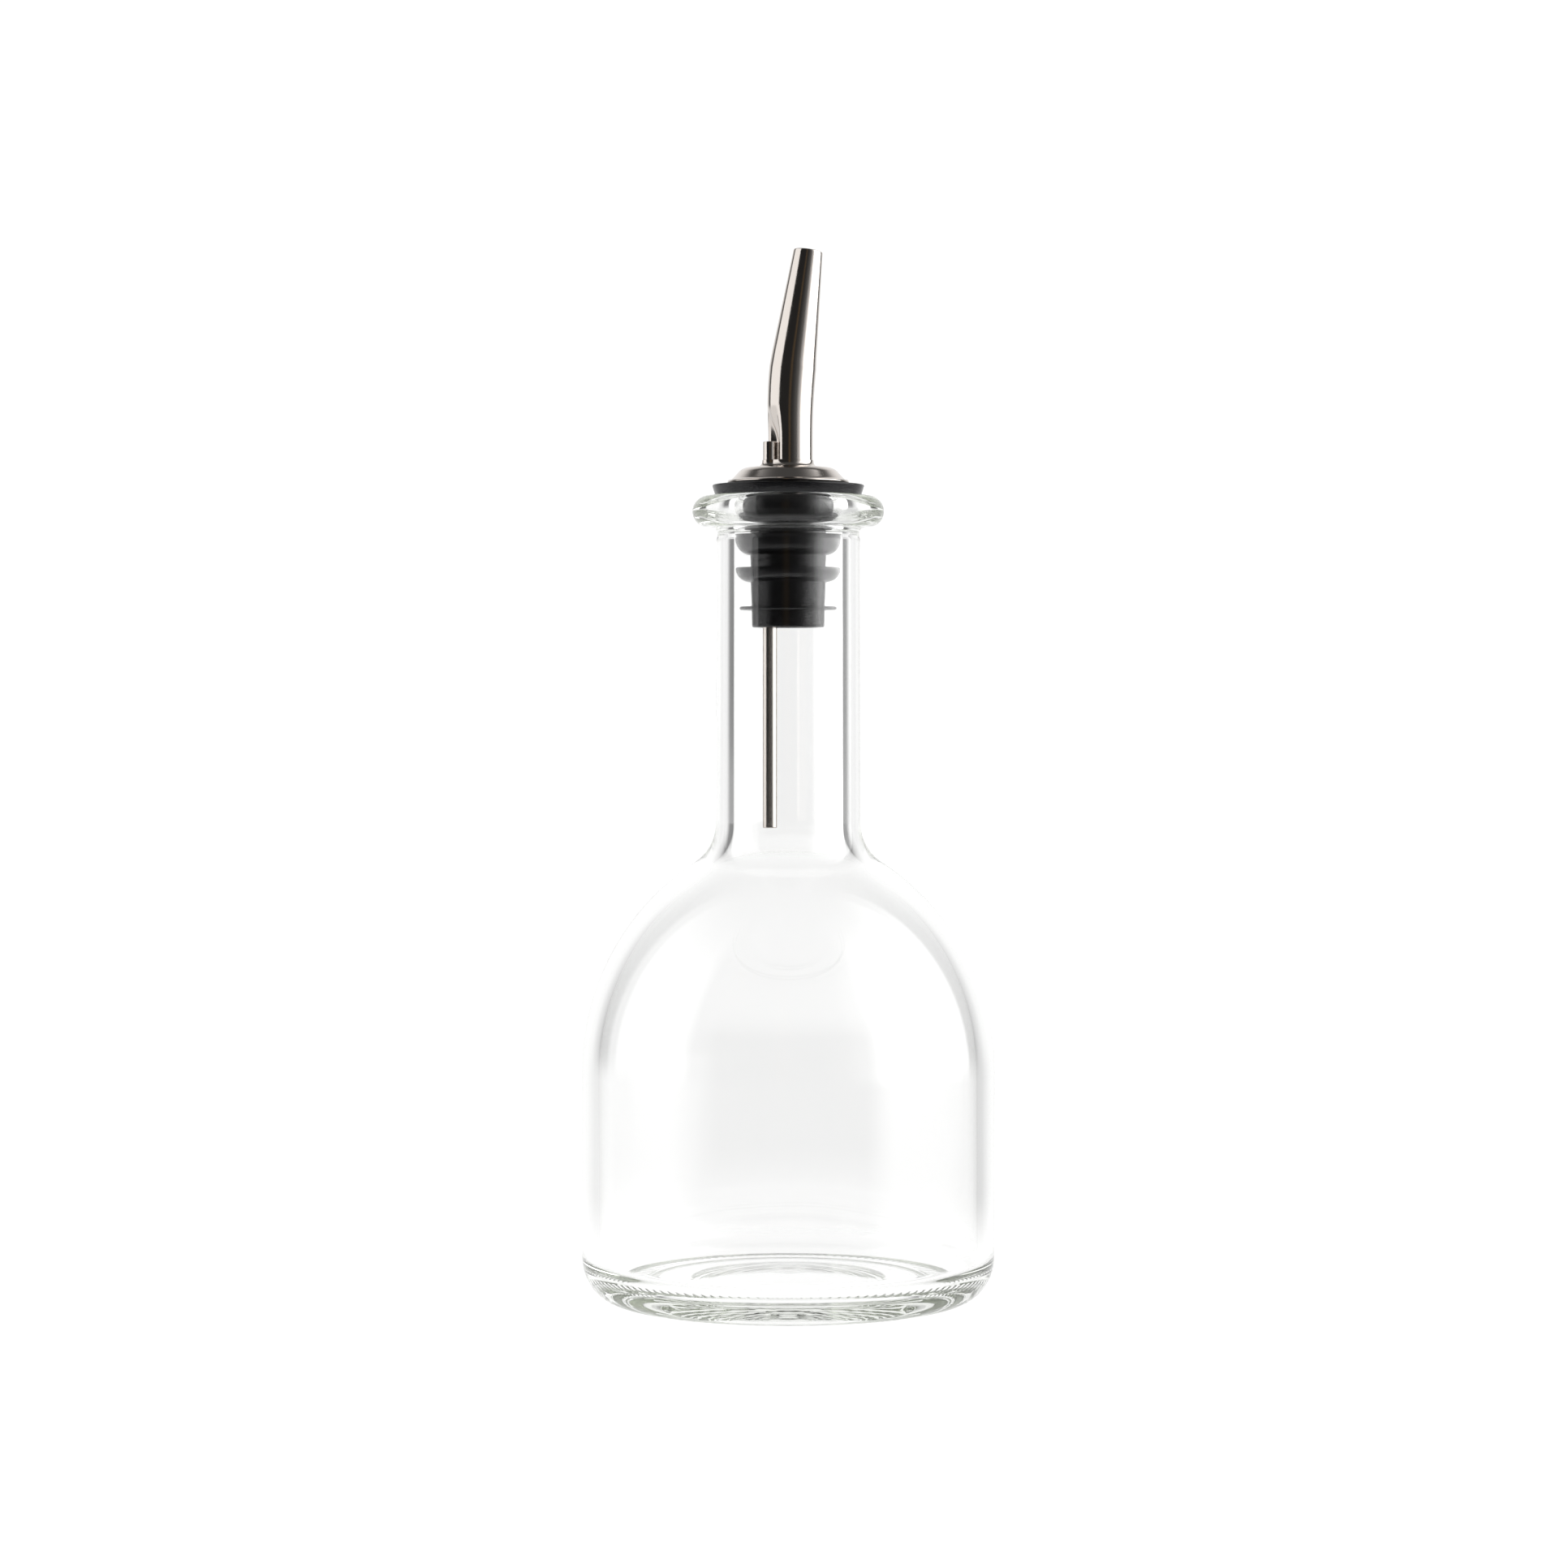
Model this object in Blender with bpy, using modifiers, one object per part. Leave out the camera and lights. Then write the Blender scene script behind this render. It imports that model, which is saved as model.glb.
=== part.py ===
"""A clear glass oil bottle closed by a free-flow pourer.

The pourer is a finned rubber stopper that carries three stainless pieces: a
domed collar cap, a bent and tapered spout, and a thin breather tube that lets
air into the bottle while the oil runs out.  The breather nests in a flute
pressed into the side of the spout.

The origin is the middle of the bottle's bearing ring.  +Z is up, and the spout
leans towards +X, away from the breather.
"""

import math

import bmesh
import bpy

MM = 0.001  # every size below is in millimetres

# Glass bottle
BODY_RADIUS = 38.2
HEEL_OUT, HEEL_UP = 6.6, 8.2  # the heel is a quarter ellipse, this wide and this tall
DOME_BASE_Z = 42.45  # the straight wall ends here and the dome begins
DOME_RADIUS = 46.0
NECK_RADIUS = 13.42
NECK_TOP_RADIUS = 13.3
SHOULDER_FILLET = 8.5  # hollow curve between the dome and the neck
BORE_RADIUS = 10.1  # the glass is as thick all over as it is in the neck
BORE_TOP_RADIUS = 10.0
FINISH_RADIUS = 13.15  # above the mould's parting step
PARTING_Z = 140.8
LIP_TOP_Z = 148.6
LIP_RADIUS = 17.7
LIP_ROUND = 2.9  # half the height of the lip bead
LIP_FILLET = 1.2
MOUTH_ROUND = 0.8
BEARING_RADIUS = 26.0  # inner edge of the flat ring that the bottle stands on
PUSH_UP_RADIUS = 17.8
PUSH_UP_HEIGHT = 3.9
FLOOR_Z = 7.2
FLOOR_ROUND_OUT, FLOOR_ROUND_UP = 9.0, 5.0  # inner curve between the floor and the wall

# Rubber stopper
REST_GAP = 0.2  # clearance between the flange and the lip
FLANGE_RADIUS = 14.0
FLANGE_BOTTOM_RADIUS = 13.5
FLANGE_TOP_Z = 150.7
PLUG_RADIUS = 8.4  # the thick plug under the flange
PLUG_BOTTOM_Z = 143.6
CORE_TOP_RADIUS = 7.1
CORE_BOTTOM_RADIUS = 6.7
CORE_BOTTOM_Z = 124.3
SLEEVE_RADIUS = 5.3  # bore through the whole stopper
CUP_FINS = ((137.6, 140.7, 9.75), (132.6, 135.0, 9.65))  # root z, rim z, rim radius
FIN_THICKNESS = 0.8
DISC_FIN_Z = 127.8
DISC_FIN_RADIUS = 8.9
DISC_FIN_THICKNESS = 0.8

# Breather tube
BREATHER_X = -3.6
BREATHER_RADIUS = 1.3
BREATHER_BORE = 0.85
BREATHER_TOP_Z = 158.5
BREATHER_BOTTOM_Z = 87.3

# Spout
SPOUT_X = 0.4
SPOUT_RADIUS = 4.18
SPOUT_SWELL = 0.17  # how much wider the spout is at its bend
SPOUT_WALL = 0.45
SHANK_BOTTOM_Z = 143.0
SWELL_START, SWELL_END = 159.0, 170.5
BEND_START = 162.5
BEND_RADIUS = 91.0
BEND_ANGLE = math.radians(8.2)
TAPER_START = 172.2
TAPER_SLOPE = 0.0745
SPOUT_LENGTH_Z = 194.1  # measured along the centreline, not straight up
FLUTE_DEPTH = 1.85
FLUTE_HALF_ANGLE = math.radians(26.0)
FLUTE_TURN = math.radians(-6.0)  # the flute sits a little round from the breather, towards -Y
FLUTE_SHARPNESS = 8  # a higher power gives the flute steeper sides
FLUTE_TOP_START, FLUTE_TOP_END = 158.5, 165.5

# Collar cap
COLLAR_RADIUS = 11.25
COLLAR_BOTTOM_Z = 150.9
COLLAR_SHEET = 0.5
CROWN_Z = 153.8
BOSS_TOP_Z = 155.15
BOSS_CLEARANCE = 0.16  # gap between the boss and the tubes that pass through it
BOSS_LIP = 0.3

BOTTLE_STEPS = 48
STOPPER_STEPS = 40
TUBE_STEPS = 16
LOFT_STEPS = 40


def smooth_step(value, start, end):
    """Rise from 0 at start to 1 at end, level at both ends."""
    part = min(max((value - start) / (end - start), 0.0), 1.0)
    return part * part * (3.0 - 2.0 * part)


def arc(centre, radius, start, end, steps):
    """Points on a circle in the profile plane, from one angle to another in degrees."""
    points = []
    for index in range(steps + 1):
        angle = math.radians(start + (end - start) * index / steps)
        points.append((centre[0] + radius * math.cos(angle), centre[1] + radius * math.sin(angle)))
    return points


def stretched_arc(centre, out, up, start, end, steps):
    """Points on an ellipse, out wide and up tall, in the profile plane."""
    circle = arc((0.0, 0.0), 1.0, start, end, steps)
    return [(centre[0] + out * x, centre[1] + up * z) for x, z in circle]


def make_material(name, colour, roughness, metallic=0.0, transmission=0.0):
    """A Principled BSDF material with the piece's own colour and finish."""
    material = bpy.data.materials.new(name)
    material.use_nodes = True
    shader = material.node_tree.nodes["Principled BSDF"]
    shader.inputs["Base Color"].default_value = (*colour, 1.0)
    shader.inputs["Roughness"].default_value = roughness
    shader.inputs["Metallic"].default_value = metallic
    shader.inputs["Transmission Weight"].default_value = transmission
    material.diffuse_color = (*colour, 1.0)
    return material


def add_piece(name, mesh, material, collection, parent=None):
    """Link a mesh as a named sub-part with one material, shaded smooth."""
    mesh.materials.append(material)
    piece = bpy.data.objects.new(name, mesh)
    collection.objects.link(piece)
    piece.parent = parent
    mesh.shade_smooth()
    return piece


def add_axis(name, collection, parent=None):
    """An empty on the bottle's axis, which carries the pieces that move together."""
    axis = bpy.data.objects.new(name, None)
    axis.empty_display_size = 10.0 * MM
    collection.objects.link(axis)
    axis.parent = parent
    return axis


def turned_piece(name, profile, closed, steps, material, collection, parent=None):
    """A profile in the XZ plane swept round Z; it runs down its outer side."""
    count = len(profile)
    last = count if closed else count - 1
    edges = [(index, (index + 1) % count) for index in range(last)]
    mesh = bpy.data.meshes.new(name)
    mesh.from_pydata([(x * MM, 0.0, z * MM) for x, z in profile], edges, [])
    piece = add_piece(name, mesh, material, collection, parent)
    screw = piece.modifiers.new("Turn", "SCREW")
    screw.angle = math.tau
    screw.steps = steps
    screw.render_steps = steps
    screw.use_merge_vertices = True
    screw.merge_threshold = 0.00001
    screw.use_smooth_shade = True
    return piece


def lofted_mesh(name, rings):
    """A closed ring-shaped body: each ring joins the next, and the last joins the first."""
    body = bmesh.new()
    loops = [[body.verts.new([value * MM for value in point]) for point in ring] for ring in rings]
    for lower, upper in zip(loops, loops[1:] + loops[:1]):
        for index in range(len(lower)):
            after = (index + 1) % len(lower)
            body.faces.new((lower[index], lower[after], upper[after], upper[index]))
    bmesh.ops.recalc_face_normals(body, faces=body.faces)
    mesh = bpy.data.meshes.new(name)
    body.to_mesh(mesh)
    body.free()
    return mesh


def bottle_profile():
    """From the middle of the inner floor, up inside, over the lip and down outside."""
    dome_centre = (BODY_RADIUS - DOME_RADIUS, DOME_BASE_Z)
    fillet_x = NECK_RADIUS + SHOULDER_FILLET
    reach = DOME_RADIUS + SHOULDER_FILLET
    run = fillet_x - dome_centre[0]
    rise = math.sqrt(reach * reach - run * run)
    fillet_centre = (fillet_x, DOME_BASE_Z + rise)
    joint_angle = math.degrees(math.atan2(rise, run))  # where the dome meets the hollow curve
    inner_fillet = fillet_x - BORE_RADIUS
    inner_dome = reach - inner_fillet
    inner_radius = dome_centre[0] + inner_dome
    floor_centre = (inner_radius - FLOOR_ROUND_OUT, FLOOR_Z + FLOOR_ROUND_UP)
    lip_centre = (LIP_RADIUS - LIP_ROUND, LIP_TOP_Z - LIP_ROUND)
    lip_bottom_z = LIP_TOP_Z - 2.0 * LIP_ROUND
    under_lip = (FINISH_RADIUS + LIP_FILLET, lip_bottom_z - LIP_FILLET)
    mouth_centre = (BORE_TOP_RADIUS + MOUTH_ROUND, LIP_TOP_Z - MOUTH_ROUND)
    heel_centre = (BODY_RADIUS - HEEL_OUT, HEEL_UP)
    inside = [(0.0, FLOOR_Z)]
    inside += stretched_arc(floor_centre, FLOOR_ROUND_OUT, FLOOR_ROUND_UP, -90.0, 0.0, 4)
    inside += arc(dome_centre, inner_dome, 0.0, joint_angle, 7)
    inside += arc(fillet_centre, inner_fillet, 180.0 + joint_angle, 180.0, 4)[1:]
    inside += arc(mouth_centre, MOUTH_ROUND, 180.0, 90.0, 2)
    outside = arc(lip_centre, LIP_ROUND, 90.0, -90.0, 8)
    outside += arc(under_lip, LIP_FILLET, 90.0, 180.0, 2)
    outside += [(FINISH_RADIUS, PARTING_Z), (NECK_TOP_RADIUS, PARTING_Z - 0.3)]
    outside += arc(fillet_centre, SHOULDER_FILLET, 180.0, 180.0 + joint_angle, 4)
    outside += arc(dome_centre, DOME_RADIUS, joint_angle, 0.0, 8)[1:]
    outside += stretched_arc(heel_centre, HEEL_OUT, HEEL_UP, 0.0, -90.0, 5)
    push_up = [(BEARING_RADIUS, 0.0)]
    for share in (0.5, 1.0):
        radius = BEARING_RADIUS + (PUSH_UP_RADIUS - BEARING_RADIUS) * share
        push_up.append((radius, PUSH_UP_HEIGHT * 0.8 * smooth_step(share, 0.0, 1.0)))
    push_up.append((0.0, PUSH_UP_HEIGHT))
    return inside + outside + push_up


def core_radius(height):
    """The stopper's core narrows evenly from the flange to its lower end."""
    part = (LIP_TOP_Z - height) / (LIP_TOP_Z - CORE_BOTTOM_Z)
    return CORE_TOP_RADIUS + (CORE_BOTTOM_RADIUS - CORE_TOP_RADIUS) * part


def cup_fin(root_z, rim_z, rim_radius):
    """An upturned bowl-shaped fin: down its hollow, round its rim and back under to the core."""
    root_radius = core_radius(root_z)
    depth = rim_z - root_z
    width = rim_radius - root_radius
    hollow_z = root_z + FIN_THICKNESS * 1.5
    fin = [(core_radius(hollow_z), hollow_z), (root_radius + width * 0.45, hollow_z + depth * 0.12)]
    fin += [(rim_radius - FIN_THICKNESS * 0.6, rim_z), (rim_radius, rim_z)]
    for angle in (-15.0, -40.0, -65.0):
        turn = math.radians(angle)
        fin.append((root_radius + width * math.cos(turn), rim_z + depth * math.sin(turn)))
    fin.append((root_radius, root_z))
    return fin


def stopper_profile():
    """Flange, plug, core and three fins down the outside, then up the sleeve bore."""
    flange_bottom_z = LIP_TOP_Z + REST_GAP
    profile = [(SLEEVE_RADIUS, FLANGE_TOP_Z), (FLANGE_RADIUS - 2.4, FLANGE_TOP_Z)]
    profile += [(FLANGE_RADIUS - 0.15, FLANGE_TOP_Z - 0.1), (FLANGE_RADIUS, FLANGE_TOP_Z - 0.3)]
    profile += [(FLANGE_BOTTOM_RADIUS, flange_bottom_z), (PLUG_RADIUS, flange_bottom_z)]
    profile += [(PLUG_RADIUS, PLUG_BOTTOM_Z + 0.6), (PLUG_RADIUS - 0.6, PLUG_BOTTOM_Z)]
    profile += [(core_radius(PLUG_BOTTOM_Z), PLUG_BOTTOM_Z)]
    for root_z, rim_z, rim_radius in CUP_FINS:
        profile += cup_fin(root_z, rim_z, rim_radius)
    disc_top = DISC_FIN_Z + DISC_FIN_THICKNESS * 0.5
    disc_bottom = DISC_FIN_Z - DISC_FIN_THICKNESS * 0.5
    profile += [(core_radius(disc_top), disc_top), (DISC_FIN_RADIUS, disc_top)]
    profile += [(DISC_FIN_RADIUS, disc_bottom), (core_radius(disc_bottom), disc_bottom)]
    profile += [(CORE_BOTTOM_RADIUS, CORE_BOTTOM_Z + 0.5), (CORE_BOTTOM_RADIUS - 0.4, CORE_BOTTOM_Z)]
    profile += [(SLEEVE_RADIUS, CORE_BOTTOM_Z)]
    return profile


def breather_profile():
    """The wall of a straight thin tube, from the stub's top to the lower end."""
    outer, inner = BREATHER_RADIUS, BREATHER_BORE
    top, bottom = BREATHER_TOP_Z - BREATHER_BOTTOM_Z, 0.0
    return [(inner, top), (outer, top), (outer, bottom), (inner, bottom)]


def spout_centre(along):
    """Place and lean of the spout's centreline: straight, then a bend, then straight."""
    bend = min(max((along - BEND_START) / BEND_RADIUS, 0.0), BEND_ANGLE)
    beyond = max(along - BEND_START - BEND_RADIUS * BEND_ANGLE, 0.0)
    x = SPOUT_X + BEND_RADIUS * (1.0 - math.cos(bend)) + beyond * math.sin(bend)
    z = min(along, BEND_START) + BEND_RADIUS * math.sin(bend) + beyond * math.cos(bend)
    return x, z, bend


def spout_radius(along, angle, inset):
    """Radius of the spout, inset from its skin; angle is measured from -X."""
    radius = SPOUT_RADIUS + SPOUT_SWELL * smooth_step(along, SWELL_START, SWELL_END) - inset
    radius -= TAPER_SLOPE * max(along - TAPER_START, 0.0)
    depth = FLUTE_DEPTH * (1.0 - smooth_step(along, FLUTE_TOP_START, FLUTE_TOP_END))
    half_angle = FLUTE_HALF_ANGLE + inset / SPOUT_RADIUS  # the wall keeps its thickness
    from_flute = abs(angle - FLUTE_TURN)
    from_flute = min(from_flute, math.tau - from_flute)
    return radius - depth / (1.0 + (from_flute / half_angle) ** FLUTE_SHARPNESS)


def spout_ring(along, inset):
    """One section of the spout, square to its centreline, drawn in by inset."""
    x, z, lean = spout_centre(along)
    ring = []
    for index in range(LOFT_STEPS):
        angle = math.tau * index / LOFT_STEPS - math.pi
        radius = spout_radius(along, angle, inset)
        across = -radius * math.cos(angle)
        side = radius * math.sin(angle)
        ring.append((x + across * math.cos(lean), side, z - across * math.sin(lean)))
    return ring


def spout_rings():
    """Sections up the outside of the spout and back down its bore."""
    bend_end = BEND_START + BEND_RADIUS * BEND_ANGLE
    run_out = FLUTE_TOP_END - FLUTE_TOP_START
    places = [SHANK_BOTTOM_Z, 150.0, 155.0, FLUTE_TOP_START]
    places += [FLUTE_TOP_START + run_out * share for share in (0.2, 0.4, 0.6, 0.8, 1.0)]
    places += [168.0, SWELL_END, TAPER_START, bend_end, 182.0, SPOUT_LENGTH_Z]
    outside = [spout_ring(along, 0.0) for along in places]
    inside = [spout_ring(along, SPOUT_WALL) for along in reversed(places)]
    return outside + inside


def far_side(centre_x, radius, angle):
    """Distance from the axis to the far side of a circle on the X axis, or 0 if it is missed."""
    along = centre_x * math.cos(angle)
    across = centre_x * math.sin(angle)
    if abs(across) >= radius:
        return 0.0
    return max(along + math.sqrt(radius * radius - across * across), 0.0)


def tubes_outline(angle, clearance):
    """Outline round the spout and the breather together, with a soft valley between them."""
    spout = far_side(SPOUT_X, SPOUT_RADIUS + clearance, angle)
    breather = far_side(BREATHER_X, BREATHER_RADIUS + clearance, angle)
    return (spout ** 24 + breather ** 24) ** (1.0 / 24.0)


def collar_ring(z, radius=None, clearance=0.0):
    """One ring of the collar: a circle, or the outline round the two tubes."""
    ring = []
    for index in range(LOFT_STEPS):
        angle = math.tau * index / LOFT_STEPS
        reach = radius if radius else tubes_outline(angle, clearance)
        ring.append((reach * math.cos(angle), reach * math.sin(angle), z))
    return ring


def collar_rings():
    """Down the boss and the dome to the rim, then back under the sheet and up the boss."""
    rim_top_z = COLLAR_BOTTOM_Z + COLLAR_SHEET
    outer_lip = BOSS_CLEARANCE + BOSS_LIP
    dome = ((7.6, CROWN_Z - 0.2), (8.9, CROWN_Z - 0.6), (9.8, CROWN_Z - 1.25), (10.5, CROWN_Z - 2.0))
    rings = [collar_ring(BOSS_TOP_Z, clearance=outer_lip)]
    rings.append(collar_ring(CROWN_Z + 0.6, clearance=outer_lip + 0.1))
    rings.append(collar_ring(CROWN_Z, clearance=outer_lip + 0.4))
    rings += [collar_ring(z, radius=radius) for radius, z in dome]
    rings.append(collar_ring(rim_top_z, radius=COLLAR_RADIUS))
    rings.append(collar_ring(COLLAR_BOTTOM_Z, radius=COLLAR_RADIUS))
    rings.append(collar_ring(COLLAR_BOTTOM_Z, radius=COLLAR_RADIUS - 0.9))
    for radius, z in reversed(dome[:3]):
        rings.append(collar_ring(z - COLLAR_SHEET, radius=radius - COLLAR_SHEET * 0.4))
    rings.append(collar_ring(CROWN_Z - COLLAR_SHEET, clearance=BOSS_CLEARANCE))
    rings.append(collar_ring(BOSS_TOP_Z, clearance=BOSS_CLEARANCE))
    return rings


def build():
    """Make the five pieces and the axes that carry the moving ones."""
    for old in list(bpy.data.objects):
        bpy.data.objects.remove(old, do_unlink=True)
    pieces = bpy.data.collections.new("oil_bottle")
    bpy.context.scene.collection.children.link(pieces)
    glass = make_material("clear_glass", (0.93, 0.96, 0.94), 0.02, transmission=1.0)
    rubber = make_material("black_rubber", (0.02, 0.02, 0.022), 0.45)
    steel = make_material("stainless", (0.62, 0.60, 0.57), 0.15, metallic=1.0)

    turned_piece("glass_bottle", bottle_profile(), False, BOTTLE_STEPS, glass, pieces)

    lift_axis = add_axis("pourer_lift_axis", pieces)
    turned_piece("stopper", stopper_profile(), True, STOPPER_STEPS, rubber, pieces, lift_axis)

    turn_axis = add_axis("pourer_turn_axis", pieces, lift_axis)
    breather = turned_piece(
        "breather_tube", breather_profile(), True, TUBE_STEPS, steel, pieces, turn_axis
    )
    breather.location = (BREATHER_X * MM, 0.0, BREATHER_BOTTOM_Z * MM)
    add_piece("spout", lofted_mesh("spout", spout_rings()), steel, pieces, turn_axis)
    add_piece("collar_cap", lofted_mesh("collar_cap", collar_rings()), steel, pieces, turn_axis)


build()
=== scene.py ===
import math

import bpy
import numpy as np
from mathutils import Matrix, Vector


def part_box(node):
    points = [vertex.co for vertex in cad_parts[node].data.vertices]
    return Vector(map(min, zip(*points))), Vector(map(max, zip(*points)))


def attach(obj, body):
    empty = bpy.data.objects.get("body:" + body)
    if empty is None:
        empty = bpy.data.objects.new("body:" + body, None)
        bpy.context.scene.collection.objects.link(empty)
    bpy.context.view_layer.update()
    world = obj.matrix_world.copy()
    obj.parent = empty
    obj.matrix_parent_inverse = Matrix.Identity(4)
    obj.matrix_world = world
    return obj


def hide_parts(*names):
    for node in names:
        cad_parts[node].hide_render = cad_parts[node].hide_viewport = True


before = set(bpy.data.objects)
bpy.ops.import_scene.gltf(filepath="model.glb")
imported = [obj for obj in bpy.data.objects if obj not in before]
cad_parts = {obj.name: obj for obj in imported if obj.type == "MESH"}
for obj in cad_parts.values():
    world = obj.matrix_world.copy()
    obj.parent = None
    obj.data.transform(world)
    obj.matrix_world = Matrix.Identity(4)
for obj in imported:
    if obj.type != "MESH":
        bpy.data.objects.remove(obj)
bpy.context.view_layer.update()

mm = 0.001  # the pieces' dictionaries give lengths in millimetres
print("frame loaded:", ", ".join(sorted(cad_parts)))


def nodeSize(name):  # outer radius, lowest and highest point of a round node, in millimetres
    low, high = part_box(name)
    return (high.x - low.x) * 0.5 / mm, low.z / mm, high.z / mm


def smoothStep(value, start, end):  # 0 before start, 1 after end, and level at both
    part = np.clip((value - start) / (end - start), 0.0, 1.0)
    return part * part * (3.0 - 2.0 * part)


def arcPoints(centre, radius, startDegrees, endDegrees, count):
    # points (radius out, height) evenly spaced along part of a circle
    angle = np.radians(np.linspace(startDegrees, endDegrees, count))
    return np.stack([centre[0] + radius * np.cos(angle), centre[1] + radius * np.sin(angle)], 1)


def stretchedArc(centre, out, up, startDegrees, endDegrees, count):
    # points (radius out, height) along part of an ellipse, out wide and up tall
    circle = arcPoints((0.0, 0.0), 1.0, startDegrees, endDegrees, count)
    return np.array(centre) + circle * np.array([out, up])


def linePoints(start, end, count):  # evenly spaced points from start up to, but not at, end
    part = np.linspace(0.0, 1.0, count, endpoint=False)[:, None]
    return np.array(start) * (1.0 - part) + np.array(end) * part


def holdEnds(profile, reach):
    # a long straight step gets a point close to each of its ends, so that its shading stays flat
    rows = [profile[:1]]
    for start, end in zip(profile[:-1], profile[1:]):
        size = math.dist(start, end)
        if size > reach * 5.0:
            part = (end - start) * reach / size
            rows.append(np.array([start + part, end - part]))
        rows.append(end[None, :])
    return np.concatenate(rows)


def turnProfile(profile, columns):
    # each profile point (radius out, height) goes once round the Z axis: x = r cos a, y = r sin a
    angle = np.linspace(0.0, 2.0 * math.pi, columns, endpoint=False)
    radius, height = profile[:, 0][:, None], profile[:, 1][:, None]
    return np.stack([radius * np.cos(angle), radius * np.sin(angle), height + 0.0 * angle], 2)


def gridFaces(rows, columns, closedRows):
    # quads between neighbouring rows, wrapped round the columns, and round the rows if they close
    row = np.arange(rows if closedRows else rows - 1)[:, None]
    column = np.arange(columns)[None, :]
    nextRow, nextColumn = (row + 1) % rows, (column + 1) % columns
    corners = [row * columns + column, nextRow * columns + column]
    corners += [nextRow * columns + nextColumn, row * columns + nextColumn]
    return np.stack(corners, 2).reshape(-1, 4)


def gridMesh(name, points, closedRows=True, poles=False):
    # points[row, column] in millimetres; poles closes the first and the last row with a fan to its middle
    rows, columns = points.shape[:2]
    vertices = points.reshape(-1, 3)
    faces = [tuple(face) for face in gridFaces(rows, columns, closedRows).tolist()]
    if poles:
        ends = np.stack([points[0].mean(0), points[-1].mean(0)])
        first, last = len(vertices), len(vertices) + 1
        vertices = np.concatenate([vertices, ends])
        lastRow = (rows - 1) * columns
        faces += [(first, c, (c + 1) % columns) for c in range(columns)]
        faces += [(last, lastRow + (c + 1) % columns, lastRow + c) for c in range(columns)]
    mesh = bpy.data.meshes.new(name)
    mesh.from_pydata(vertices * mm, [], faces)
    mesh.validate()
    mesh.shade_smooth()
    piece = bpy.data.objects.new(name, mesh)
    bpy.context.scene.collection.objects.link(piece)
    return piece


def finishPiece(piece, body, nodes, material, sharpDegrees=40.0):
    # sharp edges, the material, the body that the piece rides on and the nodes that it stands in for
    piece.data.set_sharp_from_angle(angle=math.radians(sharpDegrees))
    piece.data.materials.append(material)
    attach(piece, body)
    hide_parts(*nodes)
    print(piece.name, "made:", len(piece.data.polygons), "faces")


def hexLinear(code):  # an sRGB hex colour as linear red, green, blue, alpha
    values = [int(code[start:start + 2], 16) / 255.0 for start in (1, 3, 5)]
    linear = [v / 12.92 if v <= 0.04045 else ((v + 0.055) / 1.055) ** 2.4 for v in values]
    return (*linear, 1.0)


def addNode(tree, kind, settings=None, links=None):
    # settings are the node's own properties or, for an input, its default value; links are (output, input)
    node = tree.nodes.new(kind)
    for key, value in (settings or {}).items():
        if isinstance(key, str) and hasattr(node, key):
            setattr(node, key, value)
        else:
            node.inputs[key].default_value = value
    for key, output in (links or {}).items():
        tree.links.new(output, node.inputs[key])
    return node


def newMaterial(name):
    material = bpy.data.materials.new(name)
    material.use_nodes = True
    tree = material.node_tree
    return material, tree, tree.nodes["Principled BSDF"], tree.nodes["Material Output"]


glassLook = {
    "ior": 1.52,
    "absorbColour": "#bfc7b2",  # iron in the sand makes thick glass faintly green
    "absorbDensity": 5.0,  # per metre
    "waveScale": 1.0 / (22.0 * mm),  # the blow mould leaves swells about 22 mm apart
    "waveDetail": 1.0,
    "waveRoughness": 0.4,
    "waveHeight": 0.06 * mm,
}


def makeGlass():
    # clear soda-lime glass, blown in an iron mould and fire polished:
    # smooth, with faint swells that bend what is seen through it
    material, tree, shader, output = newMaterial("blownSodaLimeGlass")
    shader.inputs["Base Color"].default_value = (1.0, 1.0, 1.0, 1.0)
    shader.inputs["Roughness"].default_value = 0.0
    shader.inputs["IOR"].default_value = glassLook["ior"]
    shader.inputs["Transmission Weight"].default_value = 1.0
    place = addNode(tree, "ShaderNodeTexCoord")
    waves = {"Scale": glassLook["waveScale"], "Detail": glassLook["waveDetail"]}
    waves["Roughness"] = glassLook["waveRoughness"]
    swells = addNode(tree, "ShaderNodeTexNoise", waves, {"Vector": place.outputs["Object"]})
    bump = addNode(tree, "ShaderNodeBump", {"Strength": 1.0, "Distance": glassLook["waveHeight"]},
                   {"Height": swells.outputs[0]})
    tree.links.new(bump.outputs[0], shader.inputs["Normal"])
    tint = {"Color": hexLinear(glassLook["absorbColour"]), "Density": glassLook["absorbDensity"]}
    inside = addNode(tree, "ShaderNodeVolumeAbsorption", tint)
    tree.links.new(inside.outputs[0], output.inputs["Volume"])
    return material


rubberLook = {
    "colour": "#0f0f11",
    "colourWorn": "#17171a",
    "roughness": 0.25,
    "ior": 1.52,
    "specular": 0.3,
    "grainScale": 1.0 / (0.35 * mm),  # the mould's fine spark-eroded texture
    "grainHeight": 0.01 * mm,
    "grainStrength": 0.6,
    "bloomScale": 1.0 / (5.0 * mm),  # the bloom lies in patches about 5 mm across
}


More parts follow.
